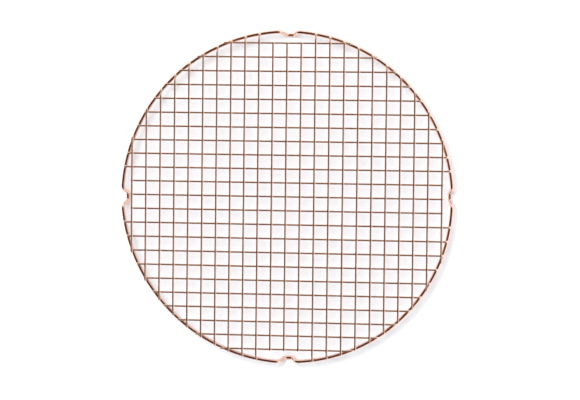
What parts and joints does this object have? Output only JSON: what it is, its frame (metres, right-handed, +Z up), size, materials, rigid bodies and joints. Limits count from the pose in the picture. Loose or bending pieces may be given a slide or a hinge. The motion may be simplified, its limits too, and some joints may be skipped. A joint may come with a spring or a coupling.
{
  "type": "cooling rack",
  "caption": "Round wire cooling rack: two crossed layers of straight wires welded on a hoop whose wire is bent into low feet.",
  "frame": {"origin": "on the table, under the centre of the hoop, level with the undersides of the feet", "axes": "+Z up; the upper wires run along Y and the lower wires along X; a foot near each end of both axes"},
  "size_m": [0.3323, 0.3309, 0.02],
  "materials": {
    "hoop_plating": "polished rose-gold plating on steel wire",
    "grid_plating": "polished rose-gold plating on fine steel wire"
  },
  "bodies": {
    "root": {"rim_wire": "hoop_plating", "lower_wire_01": "grid_plating", "lower_wire_02": "grid_plating", "lower_wire_03": "grid_plating", "lower_wire_04": "grid_plating", "lower_wire_05": "grid_plating", "lower_wire_06": "grid_plating", "lower_wire_07": "grid_plating", "lower_wire_08": "grid_plating", "lower_wire_09": "grid_plating", "lower_wire_10": "grid_plating", "lower_wire_11": "grid_plating", "lower_wire_12": "grid_plating", "lower_wire_13": "grid_plating", "lower_wire_14": "grid_plating", "lower_wire_15": "grid_plating", "lower_wire_16": "grid_plating", "lower_wire_17": "grid_plating", "lower_wire_18": "grid_plating", "lower_wire_19": "grid_plating", "lower_wire_20": "grid_plating", "lower_wire_21": "grid_plating", "lower_wire_22": "grid_plating", "lower_wire_23": "grid_plating", "upper_wire_01": "grid_plating", "upper_wire_02": "grid_plating", "upper_wire_03": "grid_plating", "upper_wire_04": "grid_plating", "upper_wire_05": "grid_plating", "upper_wire_06": "grid_plating", "upper_wire_07": "grid_plating", "upper_wire_08": "grid_plating", "upper_wire_09": "grid_plating", "upper_wire_10": "grid_plating", "upper_wire_11": "grid_plating", "upper_wire_12": "grid_plating", "upper_wire_13": "grid_plating", "upper_wire_14": "grid_plating", "upper_wire_15": "grid_plating", "upper_wire_16": "grid_plating", "upper_wire_17": "grid_plating", "upper_wire_18": "grid_plating", "upper_wire_19": "grid_plating", "upper_wire_20": "grid_plating", "upper_wire_21": "grid_plating", "upper_wire_22": "grid_plating", "upper_wire_23": "grid_plating"}
  },
  "joints": []
}
